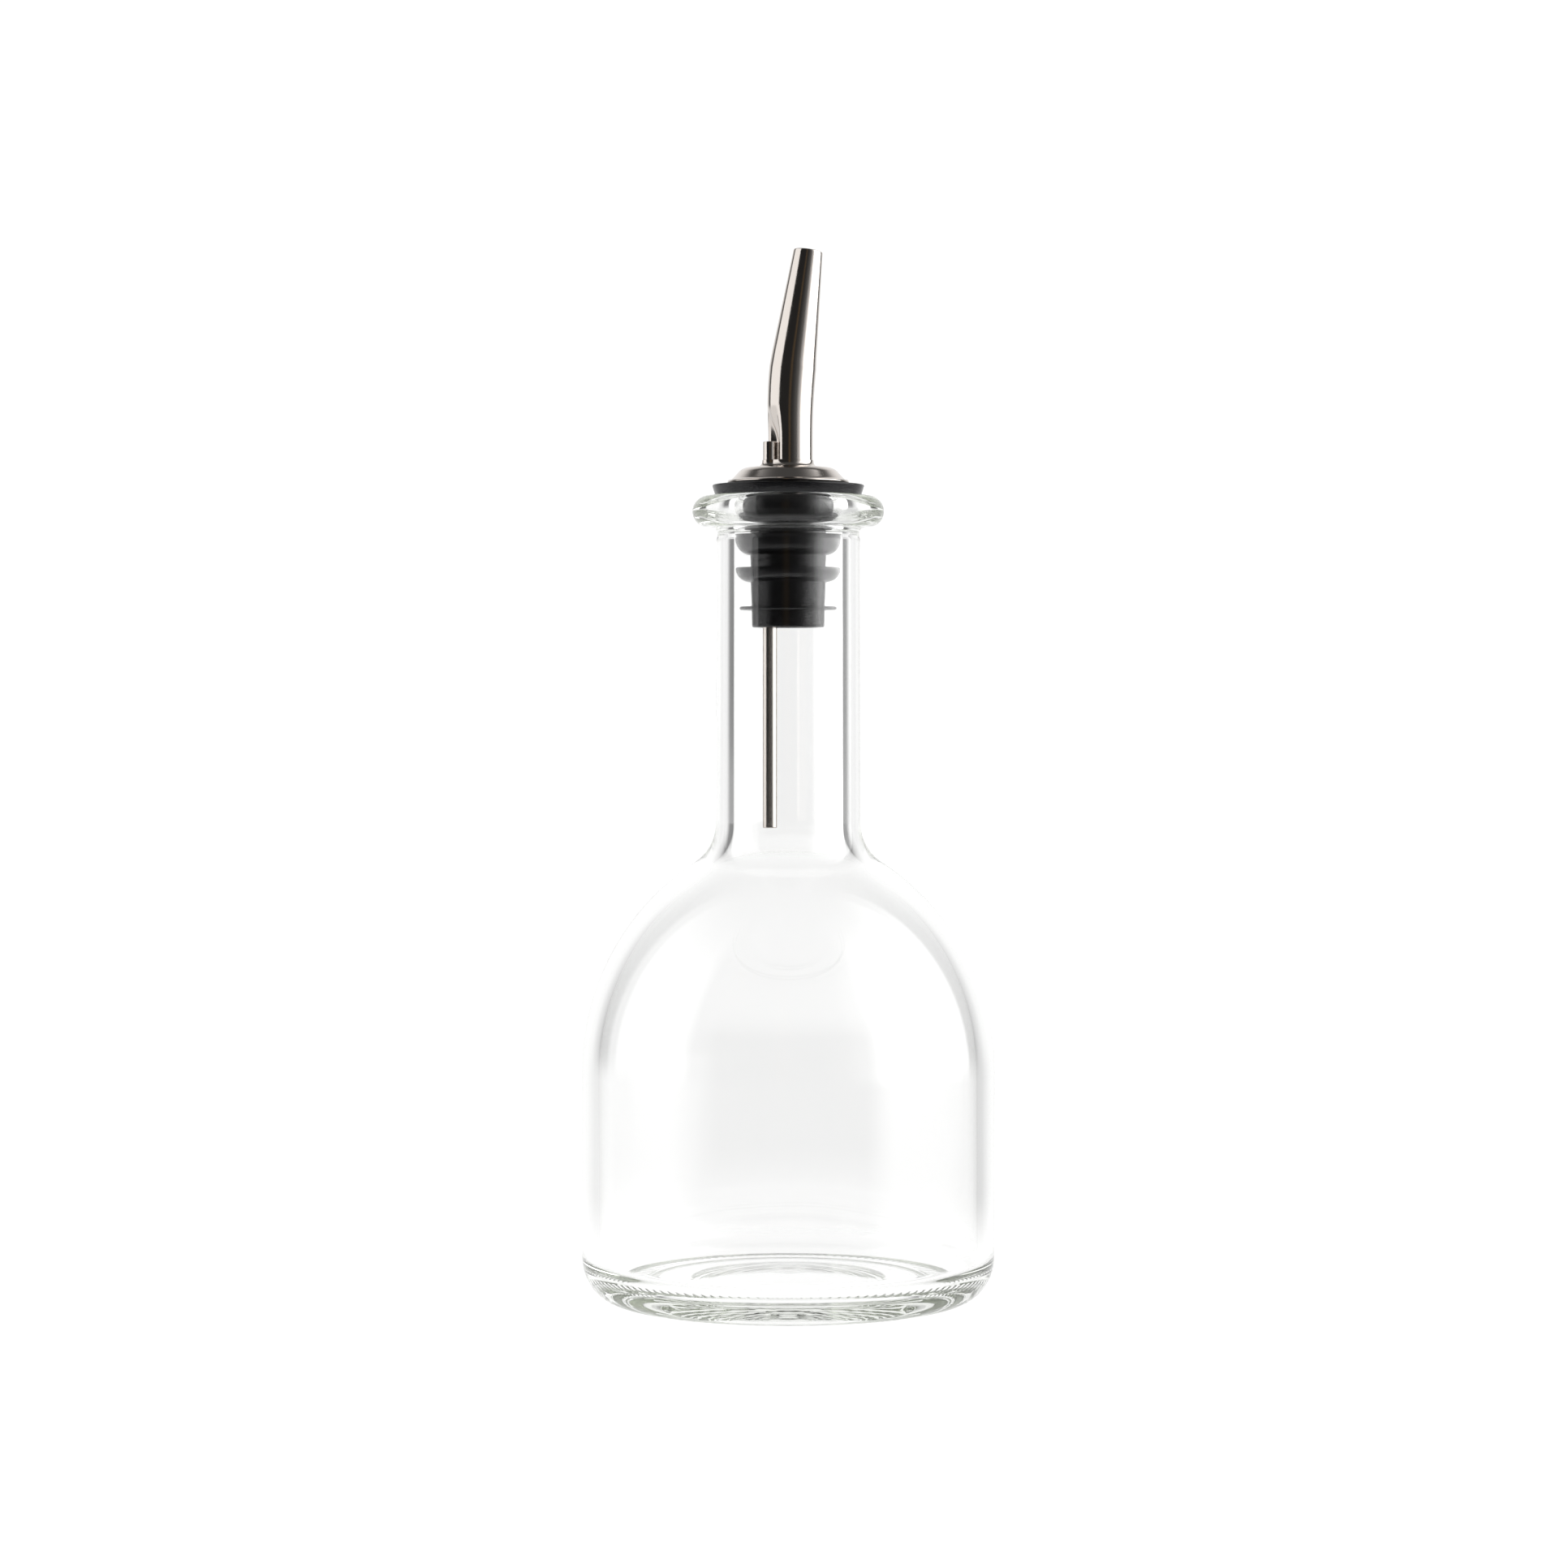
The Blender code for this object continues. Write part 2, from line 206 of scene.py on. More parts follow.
def makeRubber():
    # black nitrile rubber, compression moulded: a satin skin with a fine even grain and faint bloom
    material, tree, shader, output = newMaterial("mouldedNitrileRubber")
    place = addNode(tree, "ShaderNodeTexCoord")
    bloom = addNode(tree, "ShaderNodeTexNoise", {"Scale": rubberLook["bloomScale"], "Detail": 3.0},
                    {"Vector": place.outputs["Object"]})
    tint = addNode(tree, "ShaderNodeMix", {"data_type": "RGBA"}, {0: bloom.outputs[0]})
    tint.inputs[6].default_value = hexLinear(rubberLook["colour"])
    tint.inputs[7].default_value = hexLinear(rubberLook["colourWorn"])
    tree.links.new(tint.outputs[2], shader.inputs["Base Color"])
    shader.inputs["Roughness"].default_value = rubberLook["roughness"]
    shader.inputs["IOR"].default_value = rubberLook["ior"]
    shader.inputs["Specular IOR Level"].default_value = rubberLook["specular"]
    grain = addNode(tree, "ShaderNodeTexNoise", {"Scale": rubberLook["grainScale"], "Detail": 2.0},
                    {"Vector": place.outputs["Object"]})
    depth = {"Strength": rubberLook["grainStrength"], "Distance": rubberLook["grainHeight"]}
    bump = addNode(tree, "ShaderNodeBump", depth, {"Height": grain.outputs[0]})
    tree.links.new(bump.outputs[0], shader.inputs["Normal"])
    return material


steelLook = {
    "colour": "#cfc8c2",
    "roughnessLow": 0.04,
    "roughnessHigh": 0.14,
    "grainScale": 1.0 / (0.16 * mm),  # tumble polishing leaves pits about 0.15 mm across
    "grainHeight": 0.012 * mm,
    "grainStrength": 0.5,
    "patchScale": 1.0 / (3.5 * mm),
    "patchRange": (0.3, 0.7),  # of the patches' noise, from glossy to duller
}


def makeSteel():
    # stainless steel drawn to shape and tumble polished:
    # bright, faintly warm, with a fine pitted grain that comes and goes in patches
    material, tree, shader, output = newMaterial("tumbledStainlessSteel")
    shader.inputs["Base Color"].default_value = hexLinear(steelLook["colour"])
    shader.inputs["Metallic"].default_value = 1.0
    place = addNode(tree, "ShaderNodeTexCoord")
    grain = addNode(tree, "ShaderNodeTexNoise", {"Scale": steelLook["grainScale"], "Detail": 2.0},
                    {"Vector": place.outputs["Object"]})
    patches = addNode(tree, "ShaderNodeTexNoise", {"Scale": steelLook["patchScale"], "Detail": 2.0},
                      {"Vector": place.outputs["Object"]})
    low, high = steelLook["patchRange"]
    span = {"From Min": low, "From Max": high}
    span.update({"To Min": steelLook["roughnessLow"], "To Max": steelLook["roughnessHigh"]})
    gloss = addNode(tree, "ShaderNodeMapRange", span, {"Value": patches.outputs[0]})
    tree.links.new(gloss.outputs[0], shader.inputs["Roughness"])
    depth = {"Strength": steelLook["grainStrength"], "Distance": steelLook["grainHeight"]}
    bump = addNode(tree, "ShaderNodeBump", depth, {"Height": grain.outputs[0]})
    tree.links.new(bump.outputs[0], shader.inputs["Normal"])
    return material


glass = makeGlass()
rubber = makeRubber()
steel = makeSteel()
print("materials made")

bottleRadius, _, lipTop = nodeSize("glass_bottle")
bottle = {
    "heelOut": 6.6,  # the heel is a quarter ellipse, this wide and that tall
    "heelUp": 8.2,
    "domeBase": 42.45,  # the straight wall ends here
    "domeRadius": 46.0,
    "neckRadius": 13.42,
    "neckTopRadius": 13.28,
    "shoulderFillet": 8.5,
    "boreRadius": 10.1,
    "boreTopRadius": 10.0,
    "finishRadius": 13.12,  # above the mould's parting step
    "partingHeight": 140.8,
    "partingHalf": 0.12,  # the step runs this far above and below
    "lipReach": 2.9,  # the lip bead is wider than the neck by its section's centre plus this
    "lipRadius": 17.7,
    "underLipRound": 1.2,
    "mouthRound": 0.9,
    "bearingInner": 26.2,  # the bottle stands on a ring from here out to the heel
    "bearingEdge": 0.4,
    "recessRadius": 24.0,
    "recessHeight": 0.9,
    "pushUpRadius": 17.8,  # a shallow cap is pushed up inside this crease
    "pushUpHeight": 3.0,
    "floorHeight": 4.6,
    "floorSwell": 1.2,  # the floor rises by this in its middle
    "floorSwellRadius": 22.0,
    "floorMargin": 1.5,
    "floorRoundOut": 8.0,  # the inner corner is a quarter ellipse too
    "floorRoundUp": 3.6,
    "knurls": 108,  # small raised bars round the bearing ring
    "knurlHeight": 0.35,
    "knurlRadius": 28.9,
    "knurlHalfLength": 1.3,
    "knurlTop": 1.5,  # the knurls press only what lies below this height
    "poleRadius": 0.8,  # of the rings that the two poles close
    "holdReach": 0.25,
    "columns": 432,
}


def bottleOutline():
    # up the inside from the middle of the floor, over the lip, down the outside and in under the base
    b = bottle
    domeCentre = (bottleRadius - b["domeRadius"], b["domeBase"])
    reach = b["domeRadius"] + b["shoulderFillet"]
    run = b["neckRadius"] + b["shoulderFillet"] - domeCentre[0]
    filletCentre = (domeCentre[0] + run, b["domeBase"] + math.sqrt(reach * reach - run * run))
    meet = math.degrees(math.acos(run / reach))  # the angle where dome and hollow fillet meet
    innerFillet = filletCentre[0] - b["boreRadius"]
    innerDome = reach - innerFillet
    innerRadius = domeCentre[0] + innerDome
    floorCentre = (innerRadius - b["floorRoundOut"], b["floorHeight"] + b["floorRoundUp"])
    lipCentre = (b["lipRadius"] - b["lipReach"], lipTop - b["lipReach"])
    underLip = (b["finishRadius"] + b["underLipRound"], lipCentre[1] - b["lipReach"] - b["underLipRound"])
    mouthCentre = (b["boreTopRadius"] + b["mouthRound"], lipTop - b["mouthRound"])
    heelCentre = bottleRadius - b["heelOut"]
    out = np.linspace(b["poleRadius"], floorCentre[0] - b["floorMargin"], 14)[:, None]
    swell = b["floorSwell"] * (1.0 - smoothStep(out, 0.0, b["floorSwellRadius"]))
    inside = [np.concatenate([out, b["floorHeight"] + swell], 1)]
    inside += [stretchedArc(floorCentre, b["floorRoundOut"], b["floorRoundUp"], -90.0, 0.0, 16)]
    inside += [arcPoints(domeCentre, innerDome, 0.0, meet, 40)]
    inside += [arcPoints(filletCentre, innerFillet, 180.0 + meet, 180.0, 14)[1:]]
    inside += [arcPoints(mouthCentre, b["mouthRound"], 180.0, 90.0, 5)]
    outside = [arcPoints(lipCentre, b["lipReach"], 90.0, -90.0, 19)]
    outside += [arcPoints(underLip, b["underLipRound"], 90.0, 180.0, 6)]
    outside += [np.array([[b["finishRadius"], b["partingHeight"] + b["partingHalf"]]])]
    outside += [np.array([[b["neckTopRadius"], b["partingHeight"] - b["partingHalf"]]])]
    outside += [arcPoints(filletCentre, b["shoulderFillet"], 180.0, 180.0 + meet, 14)]
    outside += [arcPoints(domeCentre, b["domeRadius"], meet, 0.0, 44)[1:]]
    outside += [stretchedArc((heelCentre, b["heelUp"]), b["heelOut"], b["heelUp"], 0.0, -90.0, 17)]
    under = [linePoints((heelCentre - b["bearingEdge"], 0.0), (b["bearingInner"], 0.0), 9)]
    share = np.linspace(0.0, 1.0, 8)[:, None]
    slope = b["bearingInner"] + (b["recessRadius"] - b["bearingInner"]) * share
    under += [np.concatenate([slope, smoothStep(share, 0.0, 1.0) * b["recessHeight"]], 1)]
    out = np.linspace(b["pushUpRadius"], b["poleRadius"], 12)[:, None]
    rise = b["recessHeight"] + b["pushUpHeight"] * (1.0 - (out / b["pushUpRadius"]) ** 2)
    under += [np.concatenate([out, rise], 1)]
    return holdEnds(np.concatenate(inside + outside + under), b["holdReach"])


def addKnurls(points):
    # each bar stands proud in the middle of its pitch, as a raised cosine, and fades at both of its ends
    radius = np.hypot(points[..., 0], points[..., 1])
    turn = np.arctan2(points[..., 1], points[..., 0]) * bottle["knurls"]
    along = np.clip(1.0 - ((radius - bottle["knurlRadius"]) / bottle["knurlHalfLength"]) ** 2, 0.0, 1.0)
    across = (0.5 + 0.5 * np.cos(turn)) ** 2
    hollow = along * (1.0 - across) * bottle["knurlHeight"]  # the gaps between the bars are pressed in
    points[..., 2] += np.where(points[..., 2] < bottle["knurlTop"], hollow, 0.0)
    return points


bottleShape = addKnurls(turnProfile(bottleOutline(), bottle["columns"]))
glassBottle = gridMesh("moulded_glass_bottle", bottleShape, closedRows=False, poles=True)
finishPiece(glassBottle, "bottle", ["glass_bottle"], glass, sharpDegrees=60.0)

flangeRadius, coreBottom, flangeTop = nodeSize("stopper")
stopper = {
    "flangeBottomRadius": 13.5,
    "flangeInset": 2.6,  # where the flange's flat top ends, in from its edge
    "flangeRound": 0.25,
    "flangeDrop": 0.08,  # the flat top falls by this to its edge
    "footRound": 0.15,
    "lipGap": 0.04,  # the flange sits on the lip
    "plugRadius": 8.4,  # the thick plug under the flange
    "plugBottom": 143.6,
    "plugRound": 0.4,
    "plugEndRound": 0.7,
    "coreTopRadius": 7.1,
    "coreBottomRadius": 6.7,
    "coreEndRound": 0.35,
    "sleeveRadius": 5.3,
    "sleeveRound": 0.2,
    "cupFins": ((137.6, 140.7, 9.8), (132.6, 135.0, 9.7)),  # root height, rim height, rim radius
    "finThickness": 0.55,
    "finRoot": 1.6,  # at its root, a fin is thicker by this factor
    "finFillet": 0.2,
    "discHeight": 127.8,
    "discRadius": 8.95,
    "discThickness": 0.55,
    "discBead": 1.15,  # its rim is thicker by this factor
    "holdReach": 0.15,
    "columns": 192,
}


def coreRadius(height):  # the core tapers evenly from the lip down to its end
    part = (lipTop - height) / (lipTop - coreBottom)
    return stopper["coreTopRadius"] + (stopper["coreBottomRadius"] - stopper["coreTopRadius"]) * part


def cupFin(rootHeight, rimHeight, rimRadius):
    # from the core out along the hollow to the rim, and back along the underside, both quarter ellipses
    root = coreRadius(rootHeight)
    width, depth, thick = rimRadius - root, rimHeight - rootHeight, stopper["finThickness"]
    turn = np.radians(np.linspace(-78.0, -4.0, 8))
    hollowOut = (width - thick) * np.cos(turn)
    hollowUp = (depth - thick * stopper["finRoot"]) * np.sin(turn)
    hollow = np.stack([root + hollowOut, rimHeight + hollowUp], 1)
    startHeight = hollow[0, 1] + stopper["finFillet"]
    start = np.array([[coreRadius(startHeight), startHeight]])
    rim = arcPoints((rimRadius - thick * 0.5, rimHeight), thick * 0.5, 170.0, 0.0, 7)
    turn = np.radians(np.linspace(-6.0, -88.0, 10))
    under = np.stack([root + width * np.cos(turn), rimHeight + depth * np.sin(turn)], 1)
    return np.concatenate([start, hollow, rim, under])


def stopperOutline():
    # the flange's top and edge, the core with its three fins, and back up the sleeve
    s = stopper
    foot, plugTop = s["footRound"], lipTop + s["lipGap"]
    top = [[s["sleeveRadius"], flangeTop], [flangeRadius - s["flangeInset"], flangeTop]]
    edgeCentre = (flangeRadius - s["flangeRound"], flangeTop - s["flangeRound"] - s["flangeDrop"])
    edge = arcPoints(edgeCentre, s["flangeRound"], 80.0, -5.0, 6)
    footCentre = (s["flangeBottomRadius"] - foot, plugTop + foot)
    under = arcPoints(footCentre, foot, 0.0, -90.0, 4)
    plugCentre = (s["plugRadius"] + s["plugRound"], plugTop - s["plugRound"])
    plug = arcPoints(plugCentre, s["plugRound"], 90.0, 180.0, 5)
    plugEndCentre = (s["plugRadius"] - s["plugEndRound"], s["plugBottom"] + s["plugEndRound"])
    plugEnd = arcPoints(plugEndCentre, s["plugEndRound"], 0.0, -90.0, 6)
    root = [[coreRadius(s["plugBottom"]), s["plugBottom"]]]
    fins = [cupFin(*fin) for fin in s["cupFins"]]
    half = s["discThickness"] * 0.5
    disc = [[coreRadius(s["discHeight"]), s["discHeight"] + half]]
    discRim = arcPoints((s["discRadius"] - half, s["discHeight"]), half * s["discBead"], 80.0, -80.0, 7)
    discUnder = [[coreRadius(s["discHeight"]), s["discHeight"] - half]]
    endCentre = (s["coreBottomRadius"] - s["coreEndRound"], coreBottom + s["coreEndRound"])
    end = arcPoints(endCentre, s["coreEndRound"], 0.0, -90.0, 5)
    innerCentre = (s["sleeveRadius"] + s["sleeveRound"], coreBottom + s["sleeveRound"])
    inner = arcPoints(innerCentre, s["sleeveRound"], -90.0, -180.0, 4)
    parts = [top, edge, under, plug, plugEnd, root, *fins, disc, discRim, discUnder, end, inner]
    return holdEnds(np.concatenate([np.array(part) for part in parts]), s["holdReach"])


stopperPiece = gridMesh("rubber_stopper", turnProfile(stopperOutline(), stopper["columns"]))
finishPiece(stopperPiece, "stopper", ["stopper"], rubber)

breatherLow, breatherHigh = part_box("breather_tube")
breather = {
    "x": (breatherLow.x + breatherHigh.x) * 0.5 / mm,
    "radius": (breatherHigh.x - breatherLow.x) * 0.5 / mm,
    "bore": 0.9,
    "rimRound": 0.12,
    "holdReach": 0.1,
    "columns": 64,
}


def breatherOutline():
    # the tube's wall: round the top rim, down the outside, round the lower rim and up the bore
    b = breather
    top, bottom, small = breatherHigh.z / mm, breatherLow.z / mm, b["rimRound"]
    parts = [arcPoints((b["bore"] + small, top - small), small, 180.0, 90.0, 4)]
    parts += [arcPoints((b["radius"] - small, top - small), small, 90.0, 0.0, 4)]
    parts += [arcPoints((b["radius"] - small, bottom + small), small, 0.0, -90.0, 4)]
    parts += [arcPoints((b["bore"] + small, bottom + small), small, -90.0, -180.0, 4)]
    profile = np.concatenate(parts)
    return holdEnds(np.concatenate([profile, profile[:1]]), b["holdReach"])[:-1]


breatherShape = turnProfile(breatherOutline(), breather["columns"])
breatherShape[..., 0] += breather["x"]
breatherPiece = gridMesh("steel_breather_tube", breatherShape)
finishPiece(breatherPiece, "pourer_metal", ["breather_tube"], steel)

spout = {
    "x": 0.4,
    "radius": 4.18,
    "swell": 0.17,
    "swellStart": 159.0,
    "swellEnd": 170.5,
    "wall": 0.45,
    "shankBottom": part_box("spout")[0].z / mm,
    "bendStart": 162.5,
    "bendRadius": 91.0,
    "bendAngle": math.radians(8.2),
    "taperStart": 172.2,
    "taperSlope": 0.0745,
    "end": 194.1,  # along the centreline
    "fluteDepth": 1.85,
    "fluteTurn": math.radians(-6.0),  # from -X towards -Y
    "fluteHalfAngle": math.radians(26.0),
    "fluteSharpness": 8,
    "fluteTopStart": 158.5,
    "fluteTopEnd": 165.5,
    "rimRound": 0.22,
    "rows": 150,
    "columns": 192,
}


def spoutRings(along, inset):
    # rings square to a centreline that is straight, bends and runs straight again, with a flute near -X
    s = spout
    angle = np.linspace(-math.pi, math.pi, s["columns"], endpoint=False)[None, :]
    along, inset = along[:, None], inset[:, None]
    bend = np.clip((along - s["bendStart"]) / s["bendRadius"], 0.0, s["bendAngle"])
    beyond = np.clip(along - s["bendStart"] - s["bendRadius"] * s["bendAngle"], 0.0, None)
    x = s["x"] + s["bendRadius"] * (1.0 - np.cos(bend)) + beyond * np.sin(bend)
    z = np.minimum(along, s["bendStart"]) + s["bendRadius"] * np.sin(bend) + beyond * np.cos(bend)
    radius = s["radius"] + s["swell"] * smoothStep(along, s["swellStart"], s["swellEnd"]) - inset
    radius = radius - s["taperSlope"] * np.clip(along - s["taperStart"], 0.0, None)
    depth = s["fluteDepth"] * (1.0 - smoothStep(along, s["fluteTopStart"], s["fluteTopEnd"]))
    halfAngle = s["fluteHalfAngle"] + inset / s["radius"]
    fromFlute = (angle - s["fluteTurn"] + math.pi) % (2.0 * math.pi) - math.pi
    radius = radius - depth / (1.0 + (fromFlute / halfAngle) ** s["fluteSharpness"])
    across, side = -radius * np.cos(angle), radius * np.sin(angle)
    return np.stack([x + across * np.cos(bend), side, z - across * np.sin(bend)], 2)


def spoutShape():
    # up the outside, over a rounded rim, down the bore and round the lower edge
    small, wall = spout["rimRound"], spout["wall"]
    turn = np.radians(np.linspace(0.0, 90.0, 5))
    rise = np.linspace(spout["shankBottom"] + small, spout["end"] - small, spout["rows"])
    rimOut, rimUp = small * (1.0 - np.cos(turn)), small * np.sin(turn)
    outAlong = np.concatenate([rise, spout["end"] - small + rimUp[1:]])
    outInset = np.concatenate([0.0 * rise, rimOut[1:]])
    inAlong = np.concatenate([spout["end"] - small + rimUp[::-1], rise[::-1][1:]])
    inInset = np.concatenate([wall - rimOut[::-1], wall + 0.0 * rise[1:]])
    return spoutRings(np.concatenate([outAlong, inAlong]), np.concatenate([outInset, inInset]))


spoutPiece = gridMesh("steel_pouring_spout", spoutShape())
finishPiece(spoutPiece, "pourer_metal", ["spout"], steel)

collarRadius, collarBottom, bossTop = nodeSize("collar_cap")
collar = {
    "sheet": 0.45,
    "sheetInset": 0.4,  # the inner side is in by this share of the sheet
    "crown": 153.8,
    "clearance": 0.03,  # the boss grips both tubes
    "lip": 0.12,
    "lipDrop": 0.05,
    "bossFlare": 0.85,  # the boss widens by this towards the crown
    "crownRadius": 7.4,
    "crownRound": 2.4,
    "flareRadius": 11.1,
    "flareRise": 1.35,
    "flareRound": 0.9,
    "edgeRound": 0.24,
    "valley": 24,  # the higher, the sharper the valley between the two tubes
    "columns": 256,
}


def farSide(centreX, radius, angle):
    # distance from the axis to the far side of a circle on the X axis, or 0 where it is missed
    along, across = centreX * np.cos(angle), centreX * np.sin(angle)
    inside = np.clip(radius * radius - across * across, 0.0, None)
    return np.where(np.abs(across) < radius, np.clip(along + np.sqrt(inside), 0.0, None), 0.0)


def tubesOutline(angle, clearance):
    # outline round the spout and the breather together, with a soft valley between them
    outerSpout = farSide(spout["x"], spout["radius"] + clearance, angle)
    outerBreather = farSide(breather["x"], breather["radius"] + clearance, angle)
    power = collar["valley"]
    return (outerSpout ** power + outerBreather ** power) ** (1.0 / power)


def collarRing(height, clearance=0.0, radius=0.0, mix=0.0):
    # a level ring between the tubes' outline (mix 0) and a circle (mix 1)
    angle = np.linspace(0.0, 2.0 * math.pi, collar["columns"], endpoint=False)
    reach = tubesOutline(angle, clearance) * (1.0 - mix) + radius * mix
    return np.stack([reach * np.cos(angle), reach * np.sin(angle), height + 0.0 * angle], 1)


def collarShape():
    # over the boss's lip, down its hollow flare, over the crown to the rim, and back underneath
    c = collar
    lipOut = c["clearance"] + c["lip"]
    rings = [collarRing(bossTop, c["clearance"]), collarRing(bossTop, c["clearance"] + c["lip"] * 0.5)]
    rings += [collarRing(bossTop - c["lipDrop"], lipOut)]
    for share in np.linspace(0.15, 1.0, 7):
        height = bossTop - (bossTop - c["crown"]) * share
        rings.append(collarRing(height, lipOut + c["bossFlare"] * share ** 3))
    crownCentre = (c["crownRadius"], c["crown"] - c["crownRound"])
    crown = arcPoints(crownCentre, c["crownRound"], 90.0, 35.0, 9)
    flareCentre = (c["flareRadius"], collarBottom + c["flareRise"])
    flare = arcPoints(flareCentre, c["flareRound"], 215.0, 275.0, 7)
    edgeCentre = (collarRadius - c["edgeRound"], collarBottom + c["edgeRound"])
    edge = arcPoints(edgeCentre, c["edgeRound"], 80.0, -90.0, 9)
    for radius, height in np.concatenate([crown, flare, edge]):
        rings.append(collarRing(height, radius=radius, mix=1.0))
    inset = c["sheet"] * c["sheetInset"]
    for radius, height in crown[::-1]:
        rings.append(collarRing(height - c["sheet"], radius=radius - inset, mix=1.0))
    rings.append(collarRing(c["crown"] - c["sheet"], c["clearance"]))
    return np.stack(rings)


collarPiece = gridMesh("steel_collar_cap", collarShape())
finishPiece(collarPiece, "pourer_metal", ["collar_cap"], steel)

camera = {
    "lens": 90.0,
    "sensor": 36.0,
    "azimuth": math.radians(-22.0),
    "distance": 724.5,
    "height": 112.5,
    "aimHeight": 95.4,
    "slide": -0.78,  # the bottle stands a little right of the middle
    "nearest": 10.0,
}


def makeCamera():
    # it stands to the left of the front (-Y), looks slightly down and passes the axis at its side
    c = camera
    toCamera = Vector((math.sin(c["azimuth"]), -math.cos(c["azimuth"]), 0.0))
    right = Vector((math.cos(c["azimuth"]), math.sin(c["azimuth"]), 0.0))
    data = bpy.data.cameras.new("studio_camera")
    data.lens = c["lens"]
    data.sensor_width = c["sensor"]
    data.clip_start = c["nearest"] * mm
    eye = bpy.data.objects.new("studio_camera", data)
    bpy.context.scene.collection.objects.link(eye)
    eye.location = (toCamera * c["distance"] + right * c["slide"] + Vector((0.0, 0.0, c["height"]))) * mm
    aim = (right * c["slide"] + Vector((0.0, 0.0, c["aimHeight"]))) * mm
    eye.rotation_euler = (aim - eye.location).to_track_quat("-Z", "Y").to_euler()
    bpy.context.scene.camera = eye


makeCamera()

studio = {
    "backdrop": 1.08,  # seen directly, the backdrop is a little over white
    "white": 1.04,  # and through the glass just white
    "half": 0.75,  # it falls off towards its edges
    "dim": 0.13,  # gaps between the backdrop and the softboxes
    "softboxLeft": 1.35,
    "softboxRight": 3.0,
    "softboxFront": 0.27,  # the right one is this much weaker at its edge towards the camera
    "sweep": 1.03,  # the white table top that reaches out below the softboxes
    "sweepLeft": 0.8755,  # its corner at the left
    "sweepShade": 0.85,  # its part below the right softbox
    "sweepEdge": 0.72,  # its corner at the right
    "sweepFront": 0.12,  # it ends before the camera
    "sweepStart": 0.01,  # sine of the height where the softboxes begin to give way to it
    "sweepEnd": -0.13,
    "room": 0.025,  # the dark room behind the camera
    # fainter things in it: degrees to the right, brightness as a multiple of the room's, warmth
    "roomPatches": ((-3.0, 3.0, 0.4), (4.0, 1.3, 0.0), (16.0, 2.4, 0.0), (32.0, 6.0, 0.0)),
    "ceiling": 0.08,
    "ceilingStart": 0.5,  # sine of the height where the backdrop begins to fade into the ceiling
    "ceilingEnd": 1.0,
    "floorColour": "#303030",
    "floorRoughness": 0.9,
    "floorGlow": 1.04,
    "floorCorners": 144,
    "floorRadius": 190.0,
    "floorDrop": 0.2,  # below the bottle's foot
    "floorFadeStart": 60.0,  # the table fades into the backdrop from here to its rim
    "roomThrough": 1.04,  # seen through the glass from behind, the dark room gives way to the backdrop
}


def softboxStops():
    # compass angle from the camera in degrees, growing to its right, with the brightness and warmth there
    s = studio
    left, right, room = s["softboxLeft"], s["softboxRight"], s["room"]
    stops = [(-180.0, s["white"]), (-152.0, s["white"]), (-141.0, s["half"]), (-131.0, s["dim"])]
    stops += [(-121.0, s["dim"]), (-117.0, left), (-62.0, left), (-58.0, room), (-12.0, room)]
    stops += [(degrees, room * level, warm) for degrees, level, warm in s["roomPatches"]]
    stops += [(48.0, right * s["softboxFront"]), (60.0, right), (118.0, right)]
    stops += [(121.0, s["dim"]), (131.0, s["dim"]), (141.0, s["half"])]
    return stops + [(152.0, s["white"]), (180.0, s["white"])]


def sweepStops():
    # the same for the table top
    s = studio
    stops = [(-180.0, s["sweep"]), (-158.0, s["sweep"]), (-146.0, s["sweepLeft"]), (-134.0, s["sweepLeft"])]
    stops += [(-122.0, s["sweep"]), (-70.0, s["sweep"]), (-50.0, s["sweepFront"]), (45.0, s["sweepFront"])]
    stops += [(62.0, s["sweepShade"]), (104.0, s["sweepShade"]), (122.0, s["sweepEdge"])]
    return stops + [(146.0, s["sweepEdge"]), (158.0, s["sweep"]), (180.0, s["sweep"])]


def throughStops():
    # what is seen straight through the glass in the room's place
    through = studio["roomThrough"]
    return [(-180.0, 0.0), (-62.0, 0.0), (-56.0, through), (46.0, through), (58.0, 0.0), (180.0, 0.0)]


def addRamp(tree, share, stops):
    # a colour ramp once round the compass, where warmth adds red and takes away blue
    ramp = addNode(tree, "ShaderNodeValToRGB", None, {0: share})
    stopList = ramp.color_ramp.elements
    while len(stopList) < len(stops):
        stopList.new(0.5)
    for element, (degrees, value, *warmth) in zip(stopList, stops):
        warm = warmth[0] if warmth else 0.0
        element.position = degrees / 360.0 + 0.5
        element.color = (value * (1.0 + warm), value, value * (1.0 - warm), 1.0)
    return ramp


def addStep(tree, value, start, end):  # 0 up to start, 1 from end on, and smooth between them
    span = {"interpolation_type": "SMOOTHSTEP", "From Min": start, "From Max": end}
    return addNode(tree, "ShaderNodeMapRange", span, {"Value": value})


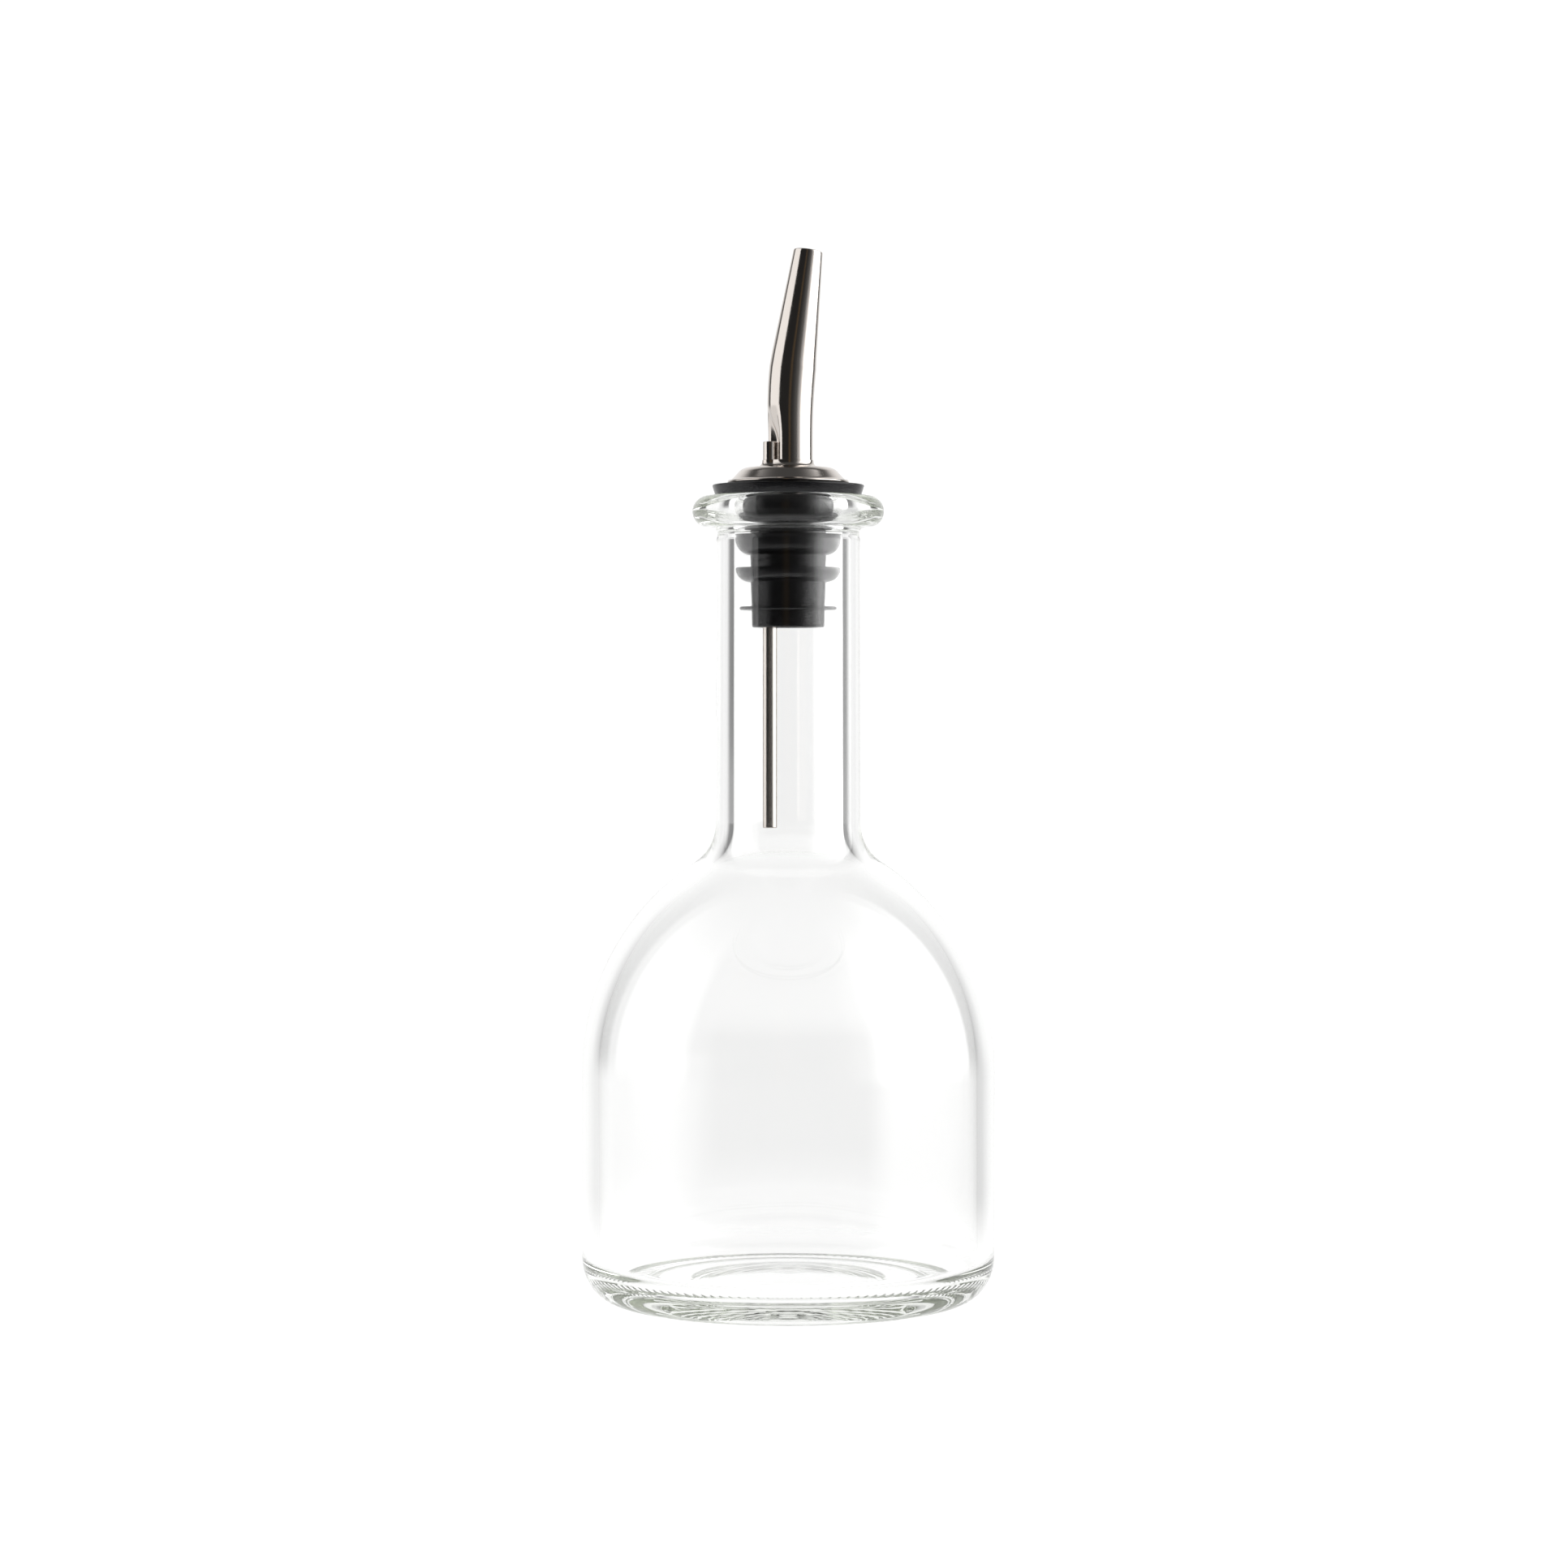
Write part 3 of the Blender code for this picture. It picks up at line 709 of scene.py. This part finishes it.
def makeWorld():
    # light by direction: backdrop, softboxes at both sides, dark room behind the camera, dim ceiling
    s = studio
    world = bpy.data.worlds.new("softStudio")
    bpy.context.scene.world = world
    world.use_nodes = True
    tree = world.node_tree
    tree.nodes.clear()
    place = addNode(tree, "ShaderNodeTexCoord")
    turned = addNode(tree, "ShaderNodeMapping", {"Rotation": (0.0, 0.0, -camera["azimuth"])},
                     {"Vector": place.outputs["Generated"]})
    split = addNode(tree, "ShaderNodeSeparateXYZ", None, {0: turned.outputs[0]})
    ahead = addNode(tree, "ShaderNodeMath", {"operation": "MULTIPLY", 1: -1.0}, {0: split.outputs[1]})
    angle = addNode(tree, "ShaderNodeMath", {"operation": "ARCTAN2"},
                    {0: split.outputs[0], 1: ahead.outputs[0]})
    share = addNode(tree, "ShaderNodeMapRange", {"From Min": -math.pi, "From Max": math.pi},
                    {"Value": angle.outputs[0]})
    upper = addRamp(tree, share.outputs[0], softboxStops())
    lower = addRamp(tree, share.outputs[0], sweepStops())
    low = addStep(tree, split.outputs[2], s["sweepStart"], s["sweepEnd"])
    high = addStep(tree, split.outputs[2], s["ceilingStart"], s["ceilingEnd"])
    sides = addNode(tree, "ShaderNodeMix", {"data_type": "RGBA"},
                    {0: low.outputs[0], 6: upper.outputs[0], 7: lower.outputs[0]})
    around = addNode(tree, "ShaderNodeMix", {"data_type": "RGBA"},
                     {0: high.outputs[0], 6: sides.outputs[2]})
    around.inputs[7].default_value = (s["ceiling"], s["ceiling"], s["ceiling"], 1.0)
    rays = addNode(tree, "ShaderNodeLightPath")
    through = addRamp(tree, share.outputs[0], throughStops())
    # bounced counts the ray's reflections; with none, and through glass only, the room gives way
    bounced = addNode(tree, "ShaderNodeMath", {"operation": "ADD"},
                      {0: rays.outputs["Glossy Depth"], 1: rays.outputs["Diffuse Depth"]})
    direct = addNode(tree, "ShaderNodeMath", {"operation": "LESS_THAN", 1: 0.5}, {0: bounced.outputs[0]})
    onlyGlass = addNode(tree, "ShaderNodeMath", {"operation": "MULTIPLY"},
                        {0: direct.outputs[0], 1: rays.outputs["Is Transmission Ray"]})
    clear = addNode(tree, "ShaderNodeMix", {"data_type": "RGBA", "blend_type": "LIGHTEN"},
                    {0: onlyGlass.outputs[0], 6: around.outputs[2], 7: through.outputs[0]})
    seen = addNode(tree, "ShaderNodeMix", {"data_type": "RGBA"}, {0: rays.outputs["Is Camera Ray"]})
    tree.links.new(clear.outputs[2], seen.inputs[6])
    seen.inputs[7].default_value = (s["backdrop"], s["backdrop"], s["backdrop"], 1.0)
    light = addNode(tree, "ShaderNodeBackground", None, {"Color": seen.outputs[2]})
    addNode(tree, "ShaderNodeOutputWorld", None, {"Surface": light.outputs[0]})


def makeFloor():
    # a round backlit table, which keeps only a faint shadow and fades out towards its rim
    s, count = studio, studio["floorCorners"]
    rim = arcPoints((0.0, 0.0), s["floorRadius"], 0.0, 360.0 - 360.0 / count, count) * mm
    corners = np.concatenate([rim, np.zeros((len(rim), 1))], 1)
    mesh = bpy.data.meshes.new("studio_floor")
    mesh.from_pydata(corners, [], [tuple(range(len(rim)))])
    floor = bpy.data.objects.new("studio_floor", mesh)
    bpy.context.scene.collection.objects.link(floor)
    floor.location.z = -s["floorDrop"] * mm
    material, tree, shader, output = newMaterial("backlitWhiteAcrylic")
    shader.inputs["Base Color"].default_value = hexLinear(s["floorColour"])
    shader.inputs["Roughness"].default_value = s["floorRoughness"]
    shader.inputs["Emission Color"].default_value = (1.0, 1.0, 1.0, 1.0)
    shader.inputs["Emission Strength"].default_value = s["floorGlow"]
    place = addNode(tree, "ShaderNodeTexCoord")
    reach = addNode(tree, "ShaderNodeVectorMath", {"operation": "LENGTH"}, {0: place.outputs["Object"]})
    rimward = addStep(tree, reach.outputs["Value"], s["floorFadeStart"] * mm, s["floorRadius"] * mm)
    gone = addNode(tree, "ShaderNodeBsdfTransparent")
    fade = addNode(tree, "ShaderNodeMixShader", None,
                   {0: rimward.outputs[0], 1: shader.outputs[0], 2: gone.outputs[0]})
    tree.links.new(fade.outputs[0], output.inputs["Surface"])
    mesh.materials.append(material)


makeWorld()
makeFloor()
bpy.context.scene.view_settings.view_transform = "Standard"
cycles = bpy.context.scene.cycles
cycles.blur_glossy = 0.0  # keeps what is seen through the glass sharp
lightBounces = 64  # light turns many times inside the thick lip and base
cycles.max_bounces = lightBounces
cycles.transmission_bounces = lightBounces
cycles.glossy_bounces = lightBounces
print("camera, floor and light made")
